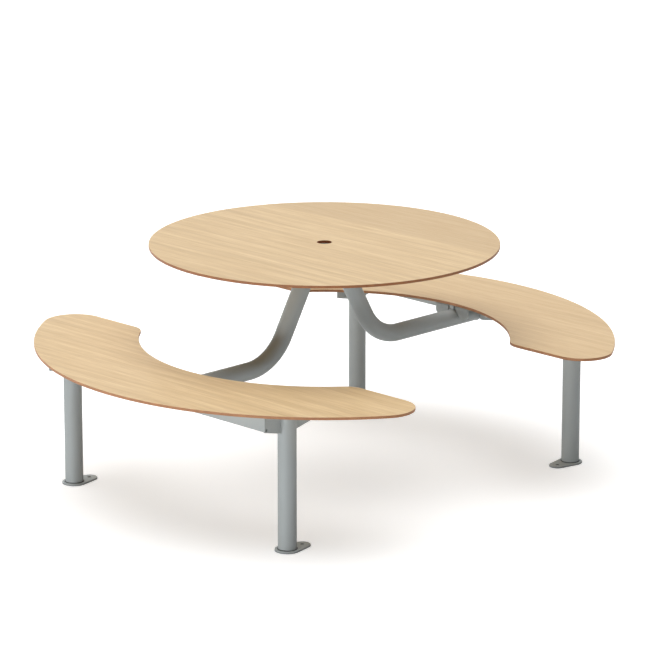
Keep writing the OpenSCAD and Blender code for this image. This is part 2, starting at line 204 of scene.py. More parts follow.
# straight oak figure: soft bands, fibres and short pores that run along X
oakGrain = {
    "sway": (1.3, 4.0, 0.0),        # noise scales along and across the boards
    "bandLength": 1.3,
    "fibreLength": 6.0,
    "fibreDetail": (4.0, 0.65),
    "pores": (26.0, 1150.0),
    "poreMask": (0.61, 0.70),
    "fibreHeight": 0.35,
}


def buildOakFigure(grain):
    tree, given, made = openTree(
        "oakFigure", "ShaderNodeTree",
        {"Vector": "Vector", "Shift": "Vector", "Bands": "Float", "Fibres": "Float",
         "Wobble": "Float"},
        {"Band": "Float", "Fibre": "Float", "Pore": "Float", "Height": "Float"},
    )
    moved = vectorCalc(tree, "ADD", given["Vector"], given["Shift"])
    sway = noise(tree, vectorCalc(tree, "MULTIPLY", moved, grain["sway"]), 1.0, 1.0)
    lean = calc(tree, "MULTIPLY", calc(tree, "SUBTRACT", sway, 0.5), given["Wobble"])
    axes = splitAxes(tree, moved)
    across = calc(tree, "ADD", axes[1], lean)

    def stretched(alongScale, acrossScale):
        return joinAxes(tree, calc(tree, "MULTIPLY", axes[0], alongScale),
                        calc(tree, "MULTIPLY", across, acrossScale))

    band = noise(tree, stretched(grain["bandLength"], given["Bands"]), 1.0)
    fibre = noise(tree, stretched(grain["fibreLength"], given["Fibres"]), 1.0,
                  *grain["fibreDetail"])
    pore = remap(tree, noise(tree, stretched(*grain["pores"]), 1.0, 1.0), *grain["poreMask"])
    raised = calc(tree, "MULTIPLY", fibre, grain["fibreHeight"])
    feed(tree, made["Band"], band)
    feed(tree, made["Fibre"], fibre)
    feed(tree, made["Pore"], pore)
    feed(tree, made["Height"], calc(tree, "SUBTRACT", raised, pore))
    return tree


# the skin of a powder coat: orange peel, faint mottling and fine flakes
coatGrain = {
    "mottleDetail": 3.0,
    "flakeDetail": 0.0,
    "peelDetail": (2.0, 0.45),
    "mottleTone": (noiseLow, noiseHigh, -0.03, 0.03),
    "flakeTone": (0.35, 0.65, -0.035, 0.035),
    "haze": (noiseLow, noiseHigh, -0.05, 0.05),
}


def buildCoatSkin(grain):
    tree, given, made = openTree(
        "coatSkin", "ShaderNodeTree",
        {"Vector": "Vector", "Peel": "Float", "Mottle": "Float", "Flake": "Float"},
        {"Tone": "Float", "Haze": "Float", "Height": "Float"},
    )
    vector = given["Vector"]
    mottle = noise(tree, vector, given["Mottle"], grain["mottleDetail"])
    flake = noise(tree, vector, given["Flake"], grain["flakeDetail"])
    feed(tree, made["Tone"], calc(tree, "ADD", remap(tree, mottle, *grain["mottleTone"]),
                                  remap(tree, flake, *grain["flakeTone"])))
    feed(tree, made["Haze"], remap(tree, mottle, *grain["haze"]))
    feed(tree, made["Height"], noise(tree, vector, given["Peel"], *grain["peelDetail"]))
    return tree


oakFigure = buildOakFigure(oakGrain)
coatSkin = buildCoatSkin(coatGrain)
print("shared shader groups built")


# in the looks below, texture is how deep the relief is and how strongly it shows, a roughness
# of two values is for the low and high end of a noise, and a cloud, blotch or grain is a
# noise's scale, detail and roughness
def startMaterial(name):
    material = bpy.data.materials.new(name)
    material.use_nodes = True
    tree = material.node_tree
    shader = next(node for node in tree.nodes if node.type == "BSDF_PRINCIPLED")
    place = addNode(tree, "ShaderNodeTexCoord").outputs["Object"]
    return material, tree, shader, place


def dressShader(tree, shader, colour, roughness, relief, texture):
    depth, strength = texture
    bump = fedNode(tree, "ShaderNodeBump", {
        "Height": relief, "Distance": depth, "Strength": strength,
    })
    feed(tree, shader.inputs["Base Color"], colour)
    feed(tree, shader.inputs["Roughness"], roughness)
    feed(tree, shader.inputs["Normal"], bump)


oakLook = {
    "darkBand": paint(205, 175, 131),
    "midBand": paint(222, 192, 145),
    "paleBand": paint(236, 209, 165),
    "bandPlaces": (0.24, 0.50, 0.76),
    "fibreTint": paint(196, 163, 119),
    "poreTint": paint(176, 140, 98),
    "bands": 34.0,
    "fibres": 110.0,
    "wobble": 0.022,
    "fibreMask": (0.60, 0.34, 0.0, 0.42),
    "poreStrength": 0.30,
    "plankFade": 0.04,
    "roughness": (0.51, 0.41),
    "texture": (0.00012, 0.6),
    # shift of each board's figure, then from which y the board turns darker and how strongly: a
    # darker plank of the print on the top, nearly the whole board on the back seat
    "boards": {
        "oakTop": ((0.31, 0.17, 0.0), (0.23, 0.70)),
        "oakSeatFront": ((2.73, 1.46, 0.0), None),
        "oakSeatBack": ((5.19, 3.08, 0.0), (0.30, 0.40)),
    },
}


def makeOak(name, look):
    shift, darkening = look["boards"][name]
    material, tree, shader, place = startMaterial(name)
    figure = placeGroup(tree, oakFigure, Vector=place, Shift=shift, Bands=look["bands"],
                        Fibres=look["fibres"], Wobble=look["wobble"])
    base = colourRamp(tree, figure["Band"], look["bandPlaces"],
                      (look["darkBand"], look["midBand"], look["paleBand"]))
    # from a given y the board's colour is blended towards the dark band
    if darkening:
        start, strength = darkening
        mask = remap(tree, splitAxes(tree, place)[1], start, start + look["plankFade"],
                     0.0, strength)
        base = blendColour(tree, mask, base, look["darkBand"])
    fibre = remap(tree, figure["Fibre"], *look["fibreMask"])
    base = blendColour(tree, fibre, base, look["fibreTint"])
    pore = calc(tree, "MULTIPLY", figure["Pore"], look["poreStrength"])
    base = blendColour(tree, pore, base, look["poreTint"])
    sheen = remap(tree, figure["Fibre"], noiseLow, noiseHigh, *look["roughness"])
    dressShader(tree, shader, base, sheen, figure["Height"], look["texture"])
    return material


# bare edge of a compact laminate: thin brown layers seen end on
coreLook = {
    "tones": {
        "coreTop": (paint(122, 74, 42), paint(176, 118, 74)),
        "coreSeat": (paint(144, 94, 58), paint(192, 138, 96)),
        # the hole's wall gets darker, redder tones: painted shade inside the parasol hole
        "coreHole": (paint(112, 54, 18), paint(158, 86, 38)),
    },
    "tonePlaces": (0.32, 0.68),
    "layer": 0.00045,
    "layerScale": 6.0,
    "layerShare": 0.6,
    "blotch": (40.0, 3.0, 0.6),
    "roughness": (0.49, 0.63),
    "texture": (0.00006, 0.5),
}


def makeCore(name, look):
    material, tree, shader, place = startMaterial(name)
    squeeze = (look["layerScale"], look["layerScale"], 1.0 / look["layer"])
    layers = noise(tree, vectorCalc(tree, "MULTIPLY", place, squeeze), 1.0)
    blotch = noise(tree, place, *look["blotch"])
    mask = calc(tree, "ADD", calc(tree, "MULTIPLY", layers, look["layerShare"]),
                calc(tree, "MULTIPLY", blotch, 1.0 - look["layerShare"]))
    dressShader(tree, shader,
                colourRamp(tree, mask, look["tonePlaces"], look["tones"][name]),
                remap(tree, blotch, noiseLow, noiseHigh, *look["roughness"]),
                mask, look["texture"])
    return material


coatLook = {
    "colour": paint(168, 174, 175),
    "metallic": 0.15,
    "roughness": 0.52,
    "specular": 0.12,
    "peel": 430.0,
    "mottle": 7.0,
    "flake": 2600.0,
    "peelStrength": 0.5,
    "splashFade": 0.0006,
    # peel depth and brightness, then the height below which the sides are darkened and how much
    # colour is left there, a painted shade
    "coats": {
        "greyCoat": (0.00009, 1.0, None),
        "greyWeld": (0.00016, 0.97, None),
        # the foot welds are darkened to paint the shade in the crevice round each leg's foot
        "footWeld": (0.00016, 0.30, None),
        # the foot plates are made 1.45 times lighter to paint the light on their tops, and their
        # sides are darkened below the top face, a painted shade
        "plateCoat": (0.00014, 1.45, (0.0056, 0.50)),
    },
}


def makeCoat(name, look):
    peelDepth, brightness, paintedSideShade = look["coats"][name]
    material, tree, shader, place = startMaterial(name)
    skin = placeGroup(tree, coatSkin, Vector=place, Peel=look["peel"], Mottle=look["mottle"],
                      Flake=look["flake"])
    tone = calc(tree, "ADD", skin["Tone"], brightness)
    # below that height the colour is darkened: painted shade on the sides
    if paintedSideShade:
        reach, left = paintedSideShade
        sideShadeFactor = remap(tree, splitAxes(tree, place)[2], reach - look["splashFade"], reach,
                      left, 1.0)
        tone = calc(tree, "MULTIPLY", tone, sideShadeFactor)
    tint = joinAxes(tree, *[calc(tree, "MULTIPLY", tone, part) for part in look["colour"][:3]])
    dressShader(tree, shader, tint, calc(tree, "ADD", skin["Haze"], look["roughness"]),
                skin["Height"], (peelDepth, look["peelStrength"]))
    shader.inputs["Metallic"].default_value = look["metallic"]
    shader.inputs["Specular IOR Level"].default_value = look["specular"]
    return material


# bright plated steel: fine turning marks and a faint yellow cloud
zincLook = {
    "colour": paint(214, 216, 214),
    "cloudColour": paint(196, 196, 182),
    "cloud": (55.0, 3.0, 0.6),
    "cloudMask": (0.4, 0.65),
    "grain": (2400.0, 2.0, 0.6),
    "metallic": 1.0,
    "roughness": (0.23, 0.39),
    "texture": (0.00003, 0.5),
}

# moulded plastic with a fine spark-eroded grain
capLook = {
    "colour": paint(62, 64, 66),
    "cloudColour": paint(48, 50, 52),
    "cloud": (25.0, 2.0, 0.5),
    "cloudMask": (0.35, 0.65),
    "grain": (1500.0, 2.0, 0.6),
    "metallic": 0.0,
    "roughness": (0.49, 0.63),
    "texture": (0.00006, 0.6),
}


def makeClouded(name, look):
    # two colours in soft clouds, and a fine grain
    material, tree, shader, place = startMaterial(name)
    cloud = remap(tree, noise(tree, place, *look["cloud"]), *look["cloudMask"])
    grain = noise(tree, place, *look["grain"])
    dressShader(tree, shader,
                blendColour(tree, cloud, look["colour"], look["cloudColour"]),
                remap(tree, grain, noiseLow, noiseHigh, *look["roughness"]),
                grain, look["texture"])
    shader.inputs["Metallic"].default_value = look["metallic"]
    return material


oakTop = makeOak("oakTop", oakLook)
oakSeats = {
    "front": makeOak("oakSeatFront", oakLook),
    "back": makeOak("oakSeatBack", oakLook),
}
coreTop = makeCore("coreTop", coreLook)
coreSeat = makeCore("coreSeat", coreLook)
# darker core for the hole's wall: painted shade
coreHole = makeCore("coreHole", coreLook)
greyCoat = makeCoat("greyCoat", coatLook)
greyWeld = makeCoat("greyWeld", coatLook)
# dark foot welds: painted shade where each leg meets its foot plate
footWeld = makeCoat("footWeld", coatLook)
# foot plates: painted light on their tops and painted shade on their sides
plateCoat = makeCoat("plateCoat", coatLook)
zincSteel = makeClouded("zincSteel", zincLook)
capPlastic = makeClouded("capPlastic", capLook)
print("materials built")


# every piece of the table rides on the one rigid body
def finishPiece(piece, slotName, *replacedNodes):
    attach(piece, "root")
    if replacedNodes:
        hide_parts(*replacedNodes)


def keepMesh(name, mesh):
    # turns a bmesh into mesh data
    data = bpy.data.meshes.new(name)
    mesh.to_mesh(data)
    mesh.free()
    return data


def linkMesh(name, data, *materials):
    # slots are filled one by one, because clearing them resets every face's number
    for index, material in enumerate(materials):
        if index < len(data.materials):
            data.materials[index] = material
        else:
            data.materials.append(material)
    return addObject(name, data)


def evaluatedMesh(piece):
    view = bpy.context.evaluated_depsgraph_get()
    view.update()
    return bpy.data.meshes.new_from_object(piece.evaluated_get(view))


def reachAcross(nodeName):
    # how near the table's long centre line a node starts, and how far out it ends
    low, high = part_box(nodeName)
    return sorted((abs(low.y), abs(high.y)))


# laminate boards: an outline of points with outward normals, given a rounded edge
boardLook = {
    "arris": 0.0011,
    "arrisSteps": 4,
    "circleSteps": 224,
    "stepLength": 0.012,
}


def edgeProfile(thickness, arris, steps):
    # (inset, height) from the lower face round to the upper face
    lower = []
    for step in range(steps + 1):
        angle = math.pi / 2 * step / steps
        lower.append((arris * (1 - math.sin(angle)), arris * (1 - math.cos(angle))))
    upper = [(inset, thickness - height) for inset, height in reversed(lower)]
    return lower + upper


def addRings(mesh, outline, bottom, profile, coreIndex=1):
    # the decor reaches over half of the upper arris, and the rest is bare core; the pale decor
    # on the arris is partly a painted highlight along the edge
    rings = []
    for inset, height in profile:
        ring = []
        for point, normal in outline:
            place = point - normal * inset
            ring.append(mesh.verts.new((place.x, place.y, bottom + height)))
        rings.append(ring)
    count = len(outline)
    decorStart = len(profile) * 3 // 4
    for level, (lower, upper) in enumerate(zip(rings, rings[1:])):
        for i in range(count):
            j = (i + 1) % count
            face = mesh.faces.new((lower[i], lower[j], upper[j], upper[i]))
            face.smooth = True
            face.material_index = coreIndex if level < decorStart else 0
    return rings[0], rings[-1]


def finishBoard(name, mesh, flats, nodeName, *materials):
    # flats are the upper and lower faces; they meet the rounded edge with a crease
    for face in flats:
        for edge in face.edges:
            if any(other.smooth for other in edge.link_faces):
                edge.smooth = False
    bmesh.ops.triangulate(mesh, faces=[face for face in flats if len(face.verts) > 4])
    bmesh.ops.recalc_face_normals(mesh, faces=mesh.faces)
    finishPiece(linkMesh(name, keepMesh(name, mesh), *materials), "oak_laminate", nodeName)


def circleOutline(radius, steps, inward=False):
    outline = []
    for step in range(steps):
        angle = 2 * math.pi * step / steps
        spoke = Vector((math.cos(angle), math.sin(angle)))
        outline.append((spoke * radius, -spoke if inward else spoke))
    return outline


tableTop = {
    "poleHoleRadius": 0.023,
    "spanRings": 14,
}


def makeTableTop(shape, look):
    low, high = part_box("table_top")
    radius = (high.y - low.y) / 2
    profile = edgeProfile(high.z - low.z, look["arris"], look["arrisSteps"])
    mesh = bmesh.new()
    steps, spans = look["circleSteps"], shape["spanRings"]
    outer = addRings(mesh, circleOutline(radius, steps), low.z, profile)
    hole = circleOutline(shape["poleHoleRadius"], steps, True)
    # the hole's wall takes the core with painted shade
    inner = addRings(mesh, hole, low.z, profile, coreIndex=2)
    flats = []
    for rim, last in zip(outer, inner):
        previous = rim
        start, end = rim[0].co.xy.length, last[0].co.xy.length
        for span in range(1, spans + 1):
            if span == spans:
                ring = last
            else:
                size = start + (end - start) * span / spans
                ring = [mesh.verts.new((*(vert.co.xy.normalized() * size), vert.co.z))
                        for vert in rim]
            for i in range(steps):
                j = (i + 1) % steps
                flats.append(mesh.faces.new((previous[i], previous[j], ring[j], ring[i])))
            previous = ring
    finishBoard("tableTop", mesh, flats, "table_top", oakTop, coreTop, coreHole)


seatBoard = {
    "innerRadius": 0.584,
    "tipRadius": 0.096,
    "cornerRadius": 0.070,
}


def arcOutline(centre, radius, start, end, stepLength, inward=False):
    steps = max(3, round(abs(end - start) * radius / stepLength))
    outline = []
    for step in range(steps):
        angle = start + (end - start) * step / steps
        spoke = Vector((math.cos(angle), math.sin(angle)))
        outline.append((centre + spoke * radius, -spoke if inward else spoke))
    return outline


def lineOutline(start, end, stepLength):
    steps = max(2, round((end - start).length / stepLength))
    along = (end - start).normalized()
    normal = Vector((along.y, -along.x))
    return [(start.lerp(end, step / steps), normal) for step in range(steps)]


def seatOutline(shape, outer, endLine, stepLength):
    # once round the back seat, from its left tip, with finer steps on the small arcs
    inner, tip, corner = shape["innerRadius"], shape["tipRadius"], shape["cornerRadius"]
    fine = stepLength / 2

    def filletCentre(radius, reach):
        height = endLine + radius
        return Vector((math.sqrt(reach ** 2 - height ** 2), height))

    tipCentre = filletCentre(tip, outer - tip)
    cornerCentre = filletCentre(corner, inner + corner)
    tipAngle = math.atan2(tipCentre.y, tipCentre.x)
    cornerAngle = math.atan2(cornerCentre.y, cornerCentre.x)
    leftTip = Vector((-tipCentre.x, tipCentre.y))
    leftCorner = Vector((-cornerCentre.x, cornerCentre.y))
    middle = Vector((0.0, 0.0))
    below = Vector((0.0, -1.0))
    down, downAgain = -math.pi / 2, math.pi * 1.5
    return [
        *lineOutline(leftTip + below * tip, leftCorner + below * corner, stepLength),
        *arcOutline(leftCorner, corner, down, -cornerAngle, fine),
        *arcOutline(middle, inner, math.pi - cornerAngle, cornerAngle, stepLength, True),
        *arcOutline(cornerCentre, corner, math.pi + cornerAngle, downAgain, fine),
        *lineOutline(cornerCentre + below * corner, tipCentre + below * tip, stepLength),
        *arcOutline(tipCentre, tip, down, tipAngle, fine),
        *arcOutline(middle, outer, tipAngle, math.pi - tipAngle, stepLength),
        *arcOutline(leftTip, tip, math.pi - tipAngle, downAgain, fine),
    ]


def makeSeatBoard(side, shape, look):
    nodeName = "seat_board_" + side
    low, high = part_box(nodeName)
    endLine, outer = reachAcross(nodeName)
    outline = [(point * sideTurn[side], normal * sideTurn[side])
               for point, normal in seatOutline(shape, outer, endLine, look["stepLength"])]
    profile = edgeProfile(high.z - low.z, look["arris"], look["arrisSteps"])
    mesh = bmesh.new()
    lower, upper = addRings(mesh, outline, low.z, profile)
    flats = [mesh.faces.new(upper), mesh.faces.new(list(reversed(lower)))]
    finishBoard("seatBoard" + side.capitalize(), mesh, flats, nodeName,
                oakSeats[side], coreSeat)


makeTableTop(tableTop, boardLook)
makeSeatBoard("front", seatBoard, boardLook)
makeSeatBoard("back", seatBoard, boardLook)
print("boards made")


# Geometry Nodes trees
def geometryTree(name, inputs):
    return openTree(name, "GeometryNodeTree",
                    {"Geometry": "Geometry", **inputs, "Material": "Material"},
                    {"Geometry": "Geometry"})


def endTree(tree, given, made, geometry):
    # Realize Instances and Set Material close every tree
    real = fedNode(tree, "GeometryNodeRealizeInstances", {"Geometry": geometry})
    feed(tree, made["Geometry"], fedNode(tree, "GeometryNodeSetMaterial", {
        "Geometry": real, "Material": given["Material"],
    }))


def growPiece(name, source, tree, values, material):
    # runs the tree on the source object and keeps the result as a plain mesh
    modifier = source.modifiers.new(name, "NODES")
    modifier.node_group = tree
    values = {**values, "Material": material}
    for item in tree.interface.items_tree:
        if item.in_out == "INPUT" and item.name in values:
            modifier[item.identifier] = values[item.name]
    mesh = evaluatedMesh(source)
    source.modifiers.remove(modifier)
    bpy.data.objects.remove(source)
    return linkMesh(name, mesh, material)


def curveObject(name, paths, radius=1.0):
    # paths are (points, closed)
    data = bpy.data.curves.new(name, "CURVE")
    data.dimensions = "3D"
    for points, closed in paths:
        spline = data.splines.new("POLY")
        spline.points.add(len(points) - 1)
        for target, point in zip(spline.points, points):
            target.co = (*point, 1.0)
            target.radius = radius
        spline.use_cyclic_u = closed
    return addObject(name, data)


def sweepRound(tree, given, path, radius, scale=None):
    # a round section of the tree's number of sides, run along a path and closed at its ends
    ring = fedNode(tree, "GeometryNodeCurvePrimitiveCircle", {
        "Resolution": given["Sides"], "Radius": radius,
    }, mode="RADIUS")
    swept = fedNode(tree, "GeometryNodeCurveToMesh", {
        "Curve": path, "Profile Curve": ring, "Scale": scale, "Fill Caps": True,
    })
    return fedNode(tree, "GeometryNodeSetShadeSmooth", {"Geometry": swept})


# bent arm tubes: a filleted centre line, swept and cut level under the head plate
armTube = {
    "bendRadius": 0.175,
    "rise": 60.0,
    "sides": 72,
    "bendSteps": 36,
    "sharpAngle": 40.0,
}


def armSection(side):
    # the tube's radius, and the height of its level run
    low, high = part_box("arm_end_cap_" + side)
    return (high.z - low.z) / 2, (high.z + low.z) / 2


def buildBentTube():
    tree, given, made = geometryTree("bentTube", {
        "Radius": "Float", "Bend Radius": "Float", "Bend Steps": "Int", "Sides": "Int",
        "Cut Height": "Float", "Rise Axis": "Vector",
    })
    bend = fedNode(tree, "GeometryNodeFilletCurve", {
        "Curve": given["Geometry"], "Count": given["Bend Steps"],
        "Radius": given["Bend Radius"],
    }, mode="POLY")
    tube = sweepRound(tree, given, bend, given["Radius"])
    # points above the cut slide back along the rising stretch
    height = splitAxes(tree, addNode(tree, "GeometryNodeInputPosition").outputs[0])[2]
    over = calc(tree, "MAXIMUM", calc(tree, "SUBTRACT", height, given["Cut Height"]), 0.0)
    slide = calc(tree, "DIVIDE", over, splitAxes(tree, given["Rise Axis"])[2])
    slide = calc(tree, "MULTIPLY", slide, -1.0)
    endTree(tree, given, made, fedNode(tree, "GeometryNodeSetPosition", {
        "Geometry": tube,
        "Offset": vectorCalc(tree, "SCALE", given["Rise Axis"], scale=slide),
    }))
    return tree


def makeArmTube(side, shape, tree):
    turn = sideTurn[side]
    radius, runHeight = armSection(side)
    endReach = reachAcross("arm_end_cap_" + side)[0]
    headReach = sum(reachAcross("arm_head_plate_" + side)) / 2
    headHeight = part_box("arm_head_plate_" + side)[0].z
    rise = math.radians(shape["rise"])
    axis = Vector((0.0, -turn * math.cos(rise), math.sin(rise)))
    kneeReach = headReach + (headHeight - runHeight) / math.tan(rise)
    line = [
        Vector((0.0, turn * endReach, runHeight)),
        Vector((0.0, turn * kneeReach, runHeight)),
        Vector((0.0, turn * headReach, headHeight)) + axis * radius,
    ]
    source = curveObject("armLine", [(line, False)])
    piece = growPiece("armTube" + side.capitalize(), source, tree, {
        "Radius": radius,
        "Bend Radius": shape["bendRadius"],
        "Bend Steps": shape["bendSteps"],
        "Sides": shape["sides"],
        "Cut Height": headHeight,
        "Rise Axis": axis,
    }, greyCoat)
    piece.data.set_sharp_from_angle(angle=math.radians(shape["sharpAngle"]))
    finishPiece(piece, "grey_steel", "arm_tube_" + side)


bentTube = buildBentTube()
makeArmTube("front", armTube, bentTube)
makeArmTube("back", armTube, bentTube)
print("arm tubes made")


# welded steel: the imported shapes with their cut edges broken
softEdges = {
    "mergeDistance": 0.00002,
    "flatAngle": 0.4,
    "edgeAngle": 38.0,
    "steps": 2,
    "capWidth": 0.0006,
}

# width of the broken edge on each family of pieces
steelEdges = {
    "seat_rail": 0.0004,
    "top_rail": 0.0004,
    "top_crossbar": 0.0005,
    "arm_head_plate": 0.0005,
    "arm_end_cap": 0.0003,
    "bearer_bar": 0.0005,
    "wing_bracket": 0.0006,
    "leg_bracket": 0.0006,
    "foot_plate": 0.0007,
    "leg": 0.0004,
}


def mergedCopy(nodeName):
    mesh = bmesh.new()
    mesh.from_mesh(nodes[nodeName].data)
    bmesh.ops.remove_doubles(mesh, verts=mesh.verts, dist=softEdges["mergeDistance"])
    return mesh


def pieceName(nodeName):
    words = nodeName.split("_")
    return words[0] + "".join(word.capitalize() for word in words[1:])


def familyName(nodeName):
    # the name without the words that say where the piece is
    places = ("front", "back", "left", "right")
    return "_".join(word for word in nodeName.split("_") if word not in places)


def dressNode(nodeName, edgeWidth, material, slotName):
    mesh = mergedCopy(nodeName)
    bmesh.ops.dissolve_limit(mesh, angle_limit=math.radians(softEdges["flatAngle"]),
                             verts=mesh.verts, edges=mesh.edges)
    for face in mesh.faces:
        face.smooth = True
    rough = linkMesh("rough", keepMesh(nodeName, mesh), material)
    bevel = rough.modifiers.new("edges", "BEVEL")
    bevel.width = edgeWidth
    bevel.segments = softEdges["steps"]
    bevel.limit_method = "ANGLE"
    bevel.angle_limit = math.radians(softEdges["edgeAngle"])
    bevel.miter_outer = "MITER_SHARP"
    weigh = rough.modifiers.new("normals", "WEIGHTED_NORMAL")
    weigh.keep_sharp = True
    finished = evaluatedMesh(rough)
    bpy.data.objects.remove(rough)
    finishPiece(linkMesh(pieceName(nodeName), finished, material), slotName, nodeName)


for nodeName in sorted(nodes):
    family = familyName(nodeName)
    if family in steelEdges:
        # the foot plates take the coat with painted light and shade
        coat = plateCoat if family == "foot_plate" else greyCoat
        dressNode(nodeName, steelEdges[family], coat, "grey_steel")
dressNode("top_rail_caps", softEdges["capWidth"], capPlastic, "cap_plastic")
print("steel parts dressed")


# fasteners: flanged hexagon heads, shanks with a thread, and nuts
boardScrew = {
    "flat": 0.010, "rim": 0.0064, "rimHeight": 0.0012, "head": 0.004, "chamfer": 0.0007,
    "shank": 0.0028, "length": 0.0126, "grip": 0.006, "pitch": 0.0011,
    "threadDepth": 0.0004, "sides": 36,
}
frameBolt = {
    "flat": 0.013, "rim": 0.0079, "rimHeight": 0.0012, "head": 0.0055, "chamfer": 0.0009,
    "shank": 0.0038, "length": 0.0168, "grip": 0.0085, "pitch": 0.00125,
    "threadDepth": 0.0004, "nut": 0.0065, "sides": 48,
}
hexTurning = {
    "faceMargin": 0.0002,        # between the flats and the turned end face
    "faceInset": 0.6,            # in chamfers, as the next one is
    "cornerReach": 1.1,
    "cornerSlope": 1.6,
    "chamferSteps": 3,
    "flange": (1.4, 0.9, 0.35),  # levels of the flange's foot, shoulder and edge, in rim heights
    "shoulderInset": 0.0008,
    "nutReach": 1.13,            # a nut's corners, in half widths across its flats
    "sharpAngle": 28.0,
}
fastenerSeeds = {
    "top_board_screws": 4,
    "seat_screws_front": 5,
    "seat_screws_back": 6,
    "seat_rail_bolts": 7,
    "head_plate_bolts": 8,
}


def hexReach(flat, angle):
    # distance from the axis to a hexagon's side, at that angle
    sector = math.radians(60)
    return flat / 2 / math.cos((angle % sector) - sector / 2)


def turnedMesh(name, rows, sides, hole=0.0):
    # rows are (height, reach), where reach is a radius or a rule of the angle
    mesh = bmesh.new()
    rings = []
    for height, reach in rows:
        ring = []
        for step in range(sides):
            angle = 2 * math.pi * step / sides
            size = reach(angle) if callable(reach) else reach
            ring.append(mesh.verts.new((size * math.cos(angle), size * math.sin(angle), height)))
        rings.append(ring)
    if hole:
        for height in (rows[-1][0], rows[0][0]):
            rings.append([mesh.verts.new((*(vert.co.xy.normalized() * hole), height))
                          for vert in rings[0]])
        rings.append(rings[0])
    for lower, upper in zip(rings, rings[1:]):
        for i in range(sides):
            j = (i + 1) % sides
            mesh.faces.new((lower[i], lower[j], upper[j], upper[i]))
    if not hole:
        mesh.faces.new(rings[-1])
        mesh.faces.new(list(reversed(rings[0])))
    bmesh.ops.recalc_face_normals(mesh, faces=mesh.faces)
    for face in mesh.faces:
        face.smooth = True
    data = keepMesh(name, mesh)
    data.set_sharp_from_angle(angle=math.radians(hexTurning["sharpAngle"]))
    return data


def boltMesh(name, size):
    # the flange's seat is at z = 0, the head points down and the shank up
    flat, rim, rimHeight, head = size["flat"], size["rim"], size["rimHeight"], size["head"]
    chamfer, shank, thread = size["chamfer"], size["shank"], size["threadDepth"]
    face = flat / 2 + hexTurning["faceMargin"]
    foot, shoulder, edge = hexTurning["flange"]
    steps = hexTurning["chamferSteps"]

    def chamfered(level):
        # a hexagon whose corners are turned off towards the end of the head
        turnedOff = max(0.0, level - (head - chamfer)) * hexTurning["cornerSlope"]
        limit = face - turnedOff + chamfer * hexTurning["cornerReach"]
        return lambda angle: min(hexReach(flat, angle), limit)

    rows = [(-head, face - chamfer * hexTurning["faceInset"])]
    for step in range(steps + 1):
        level = head - chamfer * step / steps
        rows.append((-level, chamfered(level)))
    rows += [
        (-rimHeight * foot, lambda angle: hexReach(flat, angle)),
        (-rimHeight * shoulder, rim - hexTurning["shoulderInset"]),
        (-rimHeight * edge, rim),
        (0.0, rim),
        (0.0, shank),
        (size["grip"], shank),
    ]
    height = size["grip"]
    while height + size["pitch"] < size["length"]:
        rows.append((height + size["pitch"] / 2, shank - thread))
        rows.append((height + size["pitch"], shank))
        height += size["pitch"]
    rows.append((size["length"], shank - thread))
    return turnedMesh(name, rows, size["sides"])


def nutMesh(name, size):
    flat, height, chamfer = size["flat"], size["nut"], size["chamfer"]
    face = flat / 2 - hexTurning["faceMargin"]

    def corners(cutBack):
        return lambda angle: min(hexReach(flat, angle),
                                 flat / 2 * hexTurning["nutReach"] - cutBack)

    rows = [
        (0.0, face),
        (chamfer * 0.5, corners(chamfer * 0.5)),
        (chamfer, corners(0.0)),
        (height - chamfer, corners(0.0)),
        (height - chamfer * 0.5, corners(chamfer * 0.5)),
        (height, face),
    ]
    return turnedMesh(name, rows, size["sides"], size["shank"])


def buildScatter():
    # one fastener on each point, turned to its axis and by chance about it
    tree, given, made = geometryTree("fastenerSet", {"Fastener": "Object", "Seed": "Int"})
    axis = fedNode(tree, "GeometryNodeInputNamedAttribute", {"Name": "axis"},
                   data_type="FLOAT_VECTOR")
    aim = fedNode(tree, "FunctionNodeAlignRotationToVector", {"Vector": axis}, axis="Z")
    chance = addNode(tree, "FunctionNodeRandomValue", data_type="FLOAT")
    chance.inputs[3].default_value = math.pi / 3  # past a sixth of a turn a hexagon repeats
    feed(tree, chance.inputs["Seed"], given["Seed"])
    spin = joinAxes(tree, None, None, chance.outputs[1])
    turned = fedNode(tree, "FunctionNodeRotateRotation", {"Rotation": aim, "Rotate By": spin},
                     rotation_space="LOCAL")
    shape = addNode(tree, "GeometryNodeObjectInfo")
    feed(tree, shape.inputs["Object"], given["Fastener"])
    endTree(tree, given, made, fedNode(tree, "GeometryNodeInstanceOnPoints", {
        "Points": given["Geometry"], "Instance": shape.outputs["Geometry"],
        "Rotation": turned,
    }))
    return tree


def islandBoxes(nodeName):
    # lowest and highest corner of each separate solid in a node
    mesh = mergedCopy(nodeName)
    boxes, seen = [], set()
    for start in mesh.verts:
        if start in seen:
            continue
        group, edge = [], [start]
        seen.add(start)
        while edge:
            vert = edge.pop()
            group.append(vert.co.copy())
            for link in vert.link_edges:
                other = link.other_vert(vert)
                if other not in seen:
                    seen.add(other)
                    edge.append(other)
        boxes.append([Vector([pick(point[axis] for point in group) for axis in range(3)])
                      for pick in (min, max)])
    mesh.free()
    return boxes


def pointSource(name, places):
    # places are (point, axis)
    data = bpy.data.meshes.new(name)
    data.from_pydata([point for point, axis in places], [], [])
    aim = data.attributes.new("axis", "FLOAT_VECTOR", "POINT")
    for entry, (point, axis) in zip(aim.data, places):
        entry.vector = axis
    return addObject(name, data)


def scatterFasteners(nodeName, tail, mesh, places, tree):
    shape = linkMesh("shape", mesh, zincSteel)
    piece = growPiece(pieceName(nodeName) + tail, pointSource("places", places), tree,
                      {"Fastener": shape, "Seed": fastenerSeeds[nodeName]}, zincSteel)
    bpy.data.objects.remove(shape)
    return piece


